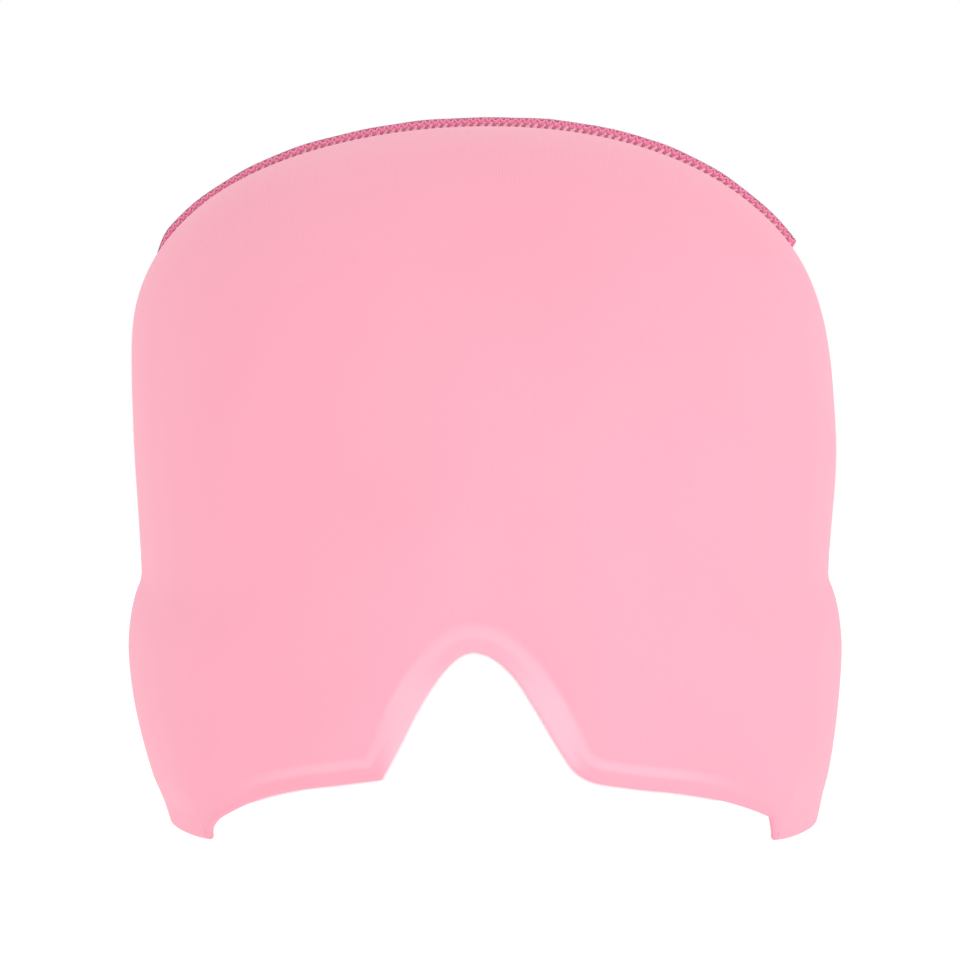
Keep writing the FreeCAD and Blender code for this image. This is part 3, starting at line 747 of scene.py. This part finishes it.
def pouch_faces(half):
    """Depths of the gel's outer and inner face: full inside, closing to nothing at the welded margin."""
    low = cover_depth(half) + CLOTH + PAD_GAP + FILM + FILM_GAP
    high = wall_depth(half) - CLOTH - PAD_GAP - FILM - FILM_GAP
    inside = np.clip(np.minimum(half.edge_gap, half.seam_gap) - 7.05, 0.02, 2.4) / 2.4
    mid, thick = (low + high) / 2, (high - low) / 2
    swell = 0.12 * np.sin(half.across / 9.5) * np.sin(half.down / 8.5 + 0.6)
    full = thick * np.sqrt(1 - (1 - inside) ** 2)
    return mid - full, mid + full + swell * inside * 0.5


def part_of(half, grid, area):
    """The part of a grid that a pouch layer covers, clear of seams and edge."""
    columns, top, low = area
    rows = half.point.shape[1]
    return grid[columns:-columns, top:rows - len(EDGE_STATIONS) + low + 1]


def layer(half, name, first, second, area):
    """One closed layer of a gel pouch, between two depths."""
    lay = part_of(half, np.stack([half.across, half.down, first * 0], axis=-1), area)
    a, b = part_of(half, skin(half, first), area), part_of(half, skin(half, second), area)
    return thick_strip(name, a, b, {"lay": (lay, lay)}, half.side)


def stitch_row(line, inwards, pitch, length, radius):
    """A row of short thread stitches laid along a line, each dipping in at both ends."""
    at = run_length(line)
    made = []
    for start in np.arange(1.0, at[-1] - pitch, pitch):
        t = np.linspace(start, start + length, 7)
        dip = radius * 1.1 * np.linspace(-1, 1, 7) ** 4
        path = read_at(t, at, line) + read_at(t, at, inwards) * dip[:, None]
        made.append(tube(path, radius * np.array([0.35, 0.9, 1, 1, 1, 0.9, 0.35]), 6))
    return made


def looper(crown, side, shift, radius):
    """One looper thread: it zigzags up a face of the ridge and over its top."""
    step = [(0.0, 0.60, 1.10), (0.18, 0.74, 1.16), (0.50, 0.97, 1.02), (0.66, 1.11, 0.55), (0.90, 1.16, 0.02),
            (1.14, 1.11, 0.55), (1.30, 0.97, 1.02), (1.62, 0.74, 1.16)]
    starts = np.arange(0.4 + shift, crown.length - 1.6, STITCH)
    wander = 0.09 * np.sin(starts * 1.7 + side) + 0.06 * np.sin(starts * 0.61)
    at = np.concatenate([[s + w + d for d, _, _ in step] for s, w in zip(starts, wander)])
    share = np.array([h for _, h, _ in step] * len(starts))
    out = np.array([g for _, _, g in step] * len(starts))
    lift = np.repeat(1 + 0.05 * np.sin(starts * 2.9 + 0.8), len(step))
    line = np.stack([at, share * lift, out], axis=1)
    length = run_length(line)
    fine = read_at(np.linspace(0, length[-1], len(line) * 2), length, line)
    return tube(crown.place(fine[:, 0], fine[:, 1], side * fine[:, 2]), radius, 8)


def top_strand(crown):
    """The thread that runs along the very top of the ridge, locking both loopers."""
    at = np.arange(0.8, crown.length - 0.6, 0.3)
    y = 0.16 * np.sin(at * 2 * np.pi / STITCH)
    p = crown.place(at, 1.0 + 0.0 * at, y)
    p += read_at(at, crown.at, crown.up) * 0.52
    verts, quads, twist = tube(p, 0.2, 6)
    # Marks this strand for the looper material's dark top colour: painted shade for the shadow line along the
    # ridge top.
    twist[:, 2] = 1
    return verts, quads, twist


def needle_stitches(crown):
    """The needle thread: short slanted dashes at the foot of the ridge's front, small ones behind."""
    made = []
    for number, start in enumerate(np.arange(1.5, crown.length - 1.0, STITCH)):
        slant = 0.34 + 0.1 * np.sin(number * 2.1)
        t = np.linspace(0, 1, 7)
        for side, girth in ((FRONT, 0.37), (BACK, 0.26)):
            share = 0.24 + 0.34 * t
            out = side * (1.0 + 0.26 * np.sin(np.pi * t))
            line = crown.place(start + slant * t, share, out)
            made.append(tube(line, girth * np.array([0.4, 0.85, 1, 1.04, 1, 0.85, 0.4]), 8))
    return made


halves = {side: Half(side) for side in (FRONT, BACK)}
front, back = halves[FRONT], halves[BACK]
crown = Crown(front)
for half in halves.values():
    half.swell = swollen(half)



# ------------------------------------------------------------------ looks

def material(name):
    """A new material, wrapped for wiring."""
    made = bpy.data.materials.new(name)
    made.use_nodes = True
    return Tree(made)


class Tree:
    """A short way to wire a material."""

    def __init__(self, made):
        self.material, self.nodes, self.links = made, made.node_tree.nodes, made.node_tree.links
        self.shader = self.nodes["Principled BSDF"]

    def add(self, kind, inputs=(), **settings):
        node = self.nodes.new("ShaderNode" + kind)
        for key, value in settings.items():
            setattr(node, key, value)
        for key, value in dict(inputs).items():
            self.feed(node.inputs[key], value)
        return node

    def feed(self, socket, value):
        if isinstance(value, bpy.types.NodeSocket):
            self.links.new(value, socket)
        else:
            socket.default_value = value

    def math(self, operation, a, b=0.0, clamp=False):
        return self.add("Math", {0: a, 1: b}, operation=operation, use_clamp=clamp).outputs[0]

    def times(self, a, b):
        return self.math("MULTIPLY", a, b)

    def attribute(self, name, output):
        return self.add("Attribute", attribute_name=name).outputs[output]

    def scaled(self, vector, scale):
        return self.add("VectorMath", {0: vector, 1: scale}, operation="MULTIPLY").outputs[0]

    def noise(self, vector, scale, detail=2.0):
        node = self.add("TexNoise", {"Vector": self.scaled(vector, scale), "Scale": 1.0, "Detail": detail})
        return node.outputs["Fac"]

    def ramp(self, value, stops):
        """From one number to another between two values: (from, to, number, number)."""
        node = self.add("MapRange", {0: value, 1: stops[0], 2: stops[1], 3: stops[2], 4: stops[3]})
        node.interpolation_type = "SMOOTHSTEP"
        return node.outputs[0]

    def mix(self, share, a, b):
        return self.add("MixRGB", {0: share, 1: a, 2: b}).outputs[0]

    def knit(self, lay, pitch):
        """Height of a fine knit: columns of stitches crossed by rows, 0 to 1."""
        parts = self.add("SeparateXYZ", {0: lay})
        turn = 2 * np.pi / pitch
        wave_x = self.math("SINE", self.times(parts.outputs[0], turn))
        wave_y = self.math("SINE", self.times(parts.outputs[1], turn * 1.35))
        both = self.math("ADD", self.times(wave_x, 0.3), self.times(wave_y, 0.2))
        return self.math("ADD", both, 0.5)

    def finish(self, colour, roughness, height, strength, distance, sheen=0.0, sheen_tint=(1, 1, 1, 1)):
        self.feed(self.shader.inputs["Base Color"], colour)
        self.feed(self.shader.inputs["Roughness"], roughness)
        bump = self.add("Bump", {"Height": height, "Strength": strength, "Distance": distance})
        self.feed(self.shader.inputs["Normal"], bump.outputs[0])
        self.shader.inputs["Sheen Weight"].default_value = sheen
        self.shader.inputs["Sheen Roughness"].default_value = 0.45
        self.shader.inputs["Sheen Tint"].default_value = sheen_tint
        return self.material


# Pale pink of thin cloth: partly its own stretched colour, partly painted light shining through it.
THIN_CLOTH_LIT_THROUGH = (0.955, 0.535, 0.63, 1)


def cover_look():
    """Fine stretch knit: even pink with faint mottling; paler where it is thin beside the notch, partly its
    stretched colour and partly painted light through it, with painted shade on the hem and painted light on
    the seam ridge.
    """
    tree = material("cover_cloth")
    lay = tree.attribute("lay", "Vector")
    edge = tree.attribute("edge_gap", "Fac")
    seam = tree.attribute("seam_gap", "Fac")
    broad = tree.noise(lay, (0.035, 0.03, 0.03), 3)
    fine = tree.noise(lay, (0.9, 1.3, 1.0), 2)
    colour = tree.mix(broad, (0.90, 0.358, 0.457, 1), (0.91, 0.386, 0.487, 1))
    colour = tree.mix(tree.ramp(fine, (0.35, 0.75, 0.0, 0.28)), colour, (0.93, 0.405, 0.50, 1))
    near_notch, inner_edge = tree.attribute("notch", "Fac"), tree.attribute("inner_edge", "Fac")
    # Paler beside the notch: partly stretched thin cloth, partly painted light shining through the cloth
    # where no gel backs it.
    margin = tree.times(tree.ramp(edge, (5.6, 7.2, 1.0, 0.0)), near_notch)
    colour = tree.mix(tree.times(margin, 0.6), colour, THIN_CLOTH_LIT_THROUGH)
    # A paler stripe between the hem and the gel along the middle of the lower edge: thin cloth, with painted
    # light shining through it.
    begins, ends = tree.ramp(edge, (2.9, 3.9, 0.0, 1.0)), tree.ramp(edge, (4.6, 6.2, 1.0, 0.0))
    lit_stripe = tree.times(begins, ends)
    lit_stripe = tree.math("MULTIPLY", lit_stripe, tree.math("SUBTRACT", inner_edge, near_notch), True)
    colour = tree.mix(tree.times(lit_stripe, 0.4), colour, THIN_CLOTH_LIT_THROUGH)
    # Darker along the turned hem away from the notch: painted shade, where the doubled cloth lets less light
    # through.
    elsewhere = tree.math("SUBTRACT", 1.0, near_notch)
    hem = tree.times(tree.ramp(edge, (2.2, 3.6, 1.0, 0.0)), elsewhere)
    colour = tree.mix(tree.times(hem, 0.3), colour, (0.86, 0.335, 0.43, 1))
    # The seam ridge's cloth is painted lighter: painted light that lifts the shade in the hollow beside the
    # crown stitches.
    colour = tree.mix(tree.ramp(seam, (0.1, 0.9, 1.0, 0.0)), colour, (0.98, 0.66, 0.74, 1))
    rough = tree.ramp(fine, (0.2, 0.8, 0.66, 0.8))
    height = tree.math("ADD", tree.knit(lay, 0.7), tree.times(fine, 0.8))
    return tree.finish(colour, rough, height, 0.25, 0.00012, 0.12, (1, 0.86, 0.9, 1))


def lining_look():
    """Paler and more matt than the cover."""
    tree = material("lining_cloth")
    lay = tree.attribute("lay", "Vector")
    fine = tree.noise(lay, (1.4, 1.4, 1.0), 3)
    colour = tree.mix(fine, (0.93, 0.72, 0.765, 1), (0.97, 0.80, 0.835, 1))
    rough = tree.ramp(fine, (0.2, 0.8, 0.82, 0.95))
    height = tree.math("ADD", tree.knit(lay, 0.8), tree.times(fine, 1.2))
    return tree.finish(colour, rough, height, 0.35, 0.0002, 0.25, (1, 0.95, 0.96, 1))


def gel_look():
    """Clouded pink gel, glossy and a little clear."""
    tree = material("gel")
    lay = tree.attribute("lay", "Vector")
    cloud = tree.noise(lay, (0.08, 0.08, 0.08), 4)
    colour = tree.mix(cloud, (0.70, 0.26, 0.42, 1), (0.80, 0.36, 0.50, 1))
    made = tree.finish(colour, tree.ramp(cloud, (0.3, 0.7, 0.12, 0.26)), cloud, 0.3, 0.0006)
    tree.shader.inputs["Transmission Weight"].default_value = 0.35
    tree.shader.inputs["Coat Weight"].default_value = 0.3
    return made


def film_look():
    """Thin clear film with a slight crinkle."""
    tree = material("film")
    lay = tree.attribute("lay", "Vector")
    crinkle = tree.noise(lay, (0.5, 0.35, 0.4), 4)
    colour = tree.mix(crinkle, (0.86, 0.70, 0.76, 1), (0.92, 0.79, 0.83, 1))
    made = tree.finish(colour, tree.ramp(crinkle, (0.3, 0.7, 0.1, 0.24)), crinkle, 0.5, 0.0004)
    tree.shader.inputs["Transmission Weight"].default_value = 0.6
    return made


def thread_look(name, light, groove_shade, top, gloss):
    """Twisted thread: slanting plies, with painted shade between them."""
    tree = material(name)
    thread = tree.add("SeparateXYZ", {0: tree.attribute("thread", "Vector")})
    turn = tree.math("ADD", tree.times(thread.outputs[0], 9.0), thread.outputs[1])
    wave = tree.math("SINE", tree.times(turn, 2.0))
    ply = tree.math("ADD", tree.times(wave, 0.5), 0.5)
    # Painted shade in the grooves between the plies.
    colour = tree.mix(ply, groove_shade, light)
    colour = tree.mix(thread.outputs[2], colour, top)
    return tree.finish(colour, tree.ramp(ply, (0.0, 1.0, gloss + 0.15, gloss)), ply, 0.5, 0.0001, 0.15)


cover_mat, lining_mat, gel_mat, film_mat = cover_look(), lining_look(), gel_look(), film_look()
# The looper's last colour tints the strand along the ridge top dark mauve: painted shade for the shadow line
# over the ridge.
looper_mat = thread_look(
    "crown_thread", (0.93, 0.33, 0.50, 1), (0.80, 0.15, 0.33, 1), (0.42, 0.19, 0.27, 1), 0.5)
# The needle thread is real, but is coloured dark as painted shade for its needle holes.
needle_mat = thread_look(
    "needle_thread", (0.66, 0.17, 0.30, 1), (0.46, 0.085, 0.19, 1), (0.5, 0.1, 0.2, 1), 0.55)
hidden_mat = thread_look(
    "hidden_thread", (0.88, 0.50, 0.60, 1), (0.74, 0.36, 0.47, 1), (0.8, 0.4, 0.5, 1), 0.7)


# ------------------------------------------------------------------ the pieces


def keep(piece, node, look):
    """Give a piece its material, attach it to the root body, and hide the imported part of the node's name.
    """
    piece.data.materials.append(look)
    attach(piece, "root")
    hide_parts(node)
    return piece


def mark(piece, name, values):
    """A number at each point for the piece's material to read."""
    field = piece.data.attributes.new(name, "FLOAT", "POINT")
    field.data.foreach_set("value", values.astype(np.float32))


def mark_cover(cover, side):
    """Mark the middle stretch of the lower edge, and the thin cloth beside the notch, where the cover is
    painted paler: partly stretched cloth, partly painted light shining through it.
    """
    co = np.empty(len(cover.data.vertices) * 3, np.float32)
    cover.data.vertices.foreach_get("co", co)
    x, z = co[0::3] * 1000, co[2::3] * 1000
    mark(cover, "inner_edge", 1 - smooth((np.abs(x) - 40) / 22))
    flank = np.maximum(np.abs(x + 0.8) - 21 - 4 * smooth((18 - z) / 6), z - 58)
    beside, above = smooth((flank + 3) / 7), smooth((z - 32) / 14)
    mark(cover, "notch", (1 - beside) * smooth((z - 15.5) / 5) * (1 - 0.6 * above) * (side == FRONT))


def rim_stitches(half):
    """Hidden stitches that close the lower edge, inside the wall."""
    row = len(EDGE_STATIONS) - int(np.argmin(np.abs(EDGE_STATIONS - 2.6)))
    line = half.point[:, -row] - half.normal[:, -row] * 3.82
    return stitch_row(line[8:-8], half.normal[8:-8, -row], 2.6, 2.1, 0.2)


def seam_stitches(sign):
    """Hidden stitches that close a side seam below the crown ridge, inside the wall."""
    seam = front.seam_line(sign, 6.0, SEAM_TOP[sign] - 4.0, 300)
    inwards = chart_frame(seam, FRONT)[2]
    return stitch_row(chart_point(seam, FRONT) - inwards * 3.3, inwards, 2.4, 1.9, 0.22)


for half, word in ((front, "front"), (back, "back")):
    cover = make_cover(half, crown, word + "_cover")
    mark_cover(cover, half.side)
    keep(cover, "cover_" + word, cover_mat)
    lining = make_lining(half, word + "_lining")
    keep(lining, "lining_" + word, lining_mat)

    gel_out, gel_in = pouch_faces(half)
    gel = layer(half, word + "_gel_pad", gel_out, gel_in, GEL_AREA)
    keep(gel, word + "_gel_core", gel_mat)
    film = layer(half, word + "_outer_film", gel_out - FILM_GAP - FILM, gel_out - FILM_GAP, FILM_AREA)
    keep(film, word + "_gel_outer_film", film_mat)
    film = layer(half, word + "_inner_film", gel_in + FILM_GAP, gel_in + FILM_GAP + FILM, FILM_AREA)
    keep(film, word + "_gel_inner_film", film_mat)

    rim = join_tubes(word + "_rim_stitches", rim_stitches(half))
    keep(rim, word + "_rim_thread", hidden_mat)

threads = join_tubes("upper_looper", [looper(crown, FRONT, 0.0, 0.34)])
keep(threads, "crown_upper_looper_thread", looper_mat)
threads = join_tubes("lower_looper", [looper(crown, BACK, STITCH / 2, 0.34), top_strand(crown)])
keep(threads, "crown_lower_looper_thread", looper_mat)
threads = join_tubes("needle_stitches", needle_stitches(crown))
keep(threads, "crown_needle_thread", needle_mat)
for sign, word in ((-1, "right"), (1, "left")):
    threads = join_tubes(word + "_seam_stitches", seam_stitches(sign))
    keep(threads, word + "_side_seam_thread", hidden_mat)


# ------------------------------------------------------------------ stage, light, camera

def area_light(name, place, target, size, power):
    """A soft round light aimed at a point."""
    lamp = bpy.data.lights.new(name, "AREA")
    lamp.shape = "DISK"
    lamp.size = size
    lamp.energy = power
    holder = bpy.data.objects.new(name, lamp)
    holder.location = place
    holder.rotation_euler = (Vector(target) - Vector(place)).to_track_quat("-Z", "Y").to_euler()
    bpy.context.scene.collection.objects.link(holder)


world = bpy.data.worlds.new("studio")
bpy.context.scene.world = world
world.use_nodes = True
background = world.node_tree.nodes["Background"].inputs
background["Color"].default_value, background["Strength"].default_value = (1, 1, 1, 1), 1.0

reach = 4000
corners = [(-reach, -reach, 0), (reach, -reach, 0), (reach, reach, 0), (-reach, reach, 0)]
floor = new_mesh("floor", corners, [(0, 1, 2, 3)])
floor_tree = material("pale_floor")
shade = floor_tree.shader.inputs
shade["Base Color"].default_value, shade["Roughness"].default_value = (0.25, 0.25, 0.25, 1), 1
shade["Emission Color"].default_value, shade["Emission Strength"].default_value = (1, 1, 1, 1), 0.88
below = floor_tree.add("NewGeometry").outputs["Backfacing"]
clear = floor_tree.add("BsdfTransparent").outputs[0]
seen = floor_tree.add("MixShader", {0: below, 1: floor_tree.shader.outputs[0], 2: clear}).outputs[0]
floor_tree.links.new(seen, floor_tree.nodes["Material Output"].inputs["Surface"])
floor.data.materials.append(floor_tree.material)

area_light("key", (0.75, -1.0, 0.16), (0, 0, 0.06), 0.5, 2.4)

camera_data = bpy.data.cameras.new("camera")
camera_data.lens = 156.25
camera_data.sensor_width = 36
camera = bpy.data.objects.new("camera", camera_data)
camera.location = (-0.0012, -1.0, 0.0813)
camera.rotation_euler = (np.pi / 2, 0, 0)
bpy.context.scene.collection.objects.link(camera)
bpy.context.scene.camera = camera
bpy.context.scene.view_settings.view_transform = "Standard"
